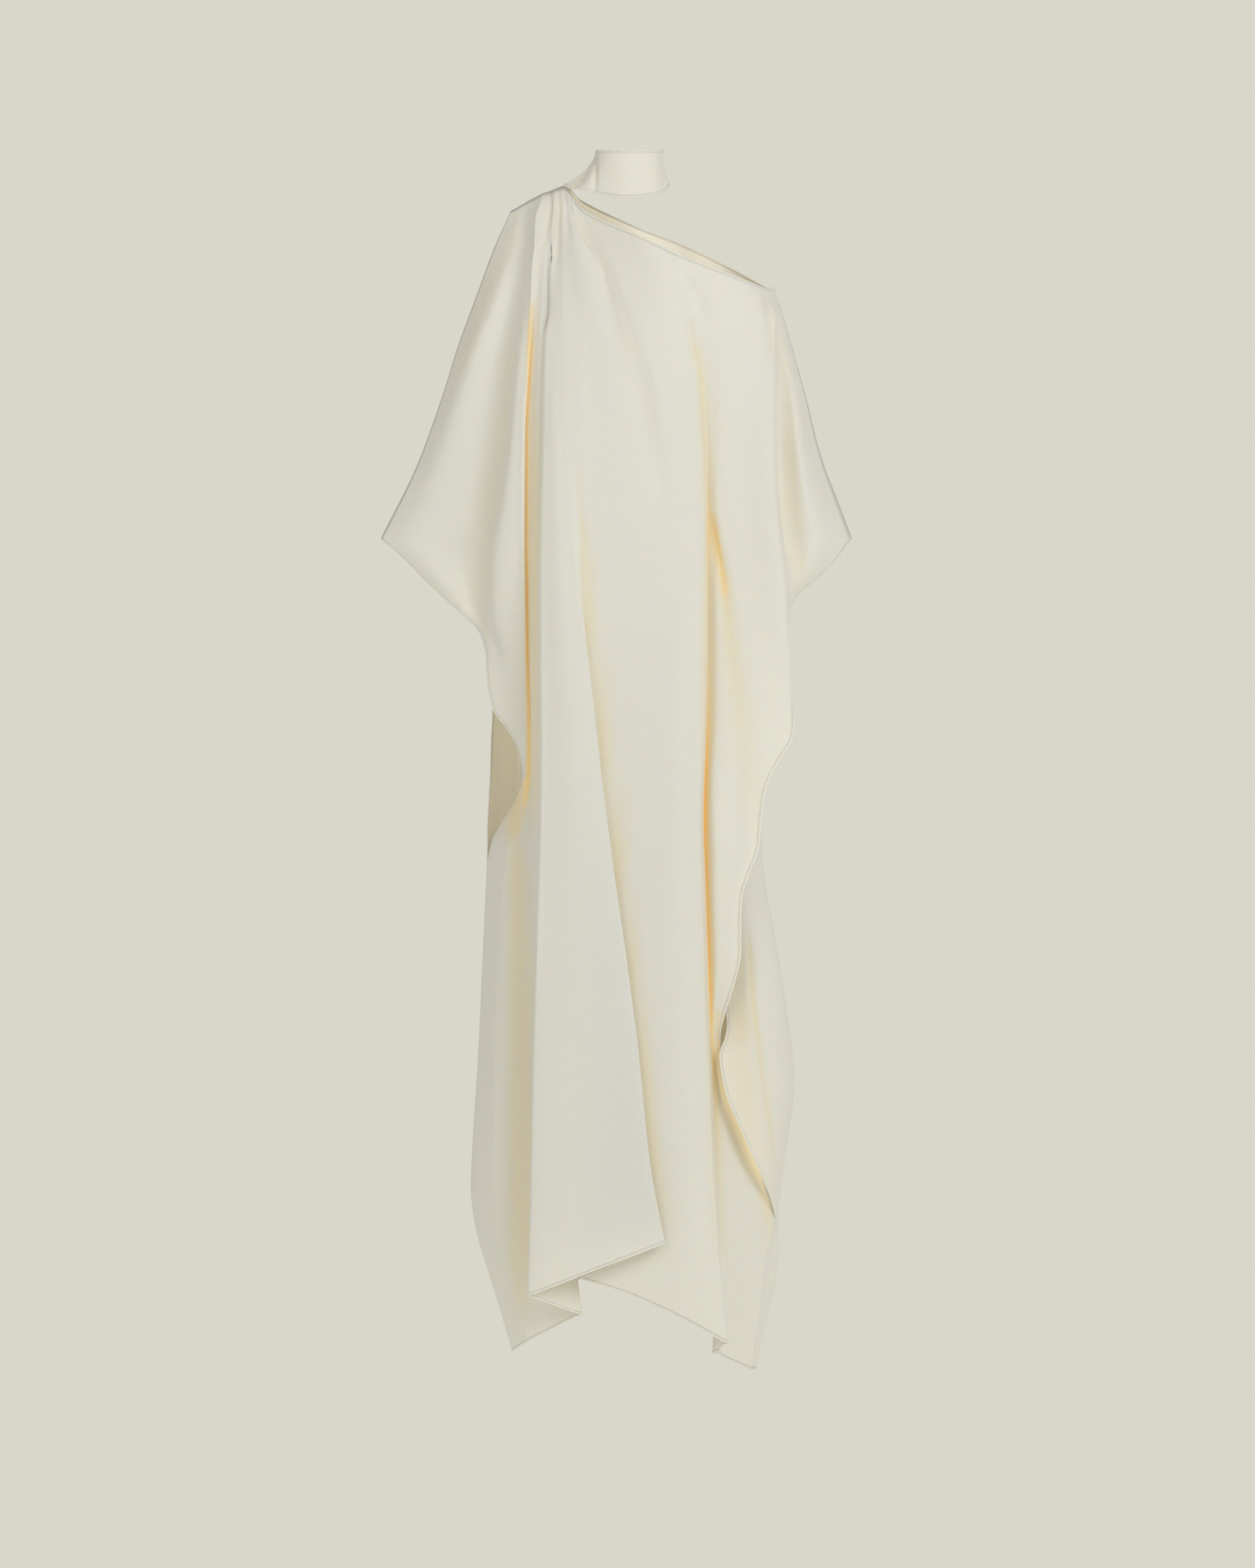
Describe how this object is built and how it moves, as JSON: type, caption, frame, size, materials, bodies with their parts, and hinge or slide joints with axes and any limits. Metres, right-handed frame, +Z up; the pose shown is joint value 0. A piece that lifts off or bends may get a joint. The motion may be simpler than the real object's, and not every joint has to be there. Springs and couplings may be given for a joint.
{
  "type": "kaftan",
  "caption": "Floor-length one-shoulder kaftan of heavy crepe with batwing sleeves cut in one, a mock-neck collar and an uneven pointed hem.",
  "frame": {"origin": "where the collar's tongue meets the inner end of the shoulder seam, on top of the covered shoulder, which carries the garment", "axes": "+Z up, +X towards the bare shoulder, to the right of someone who faces the front, +Y to the back"},
  "size_m": [0.6164, 0.3137, 1.5891],
  "materials": {
    "crepe": "matte ivory crepe with a soft drape"
  },
  "bodies": {
    "root": {"front_panel": "crepe", "back_panel": "crepe", "neck_collar": "crepe"}
  },
  "joints": []
}
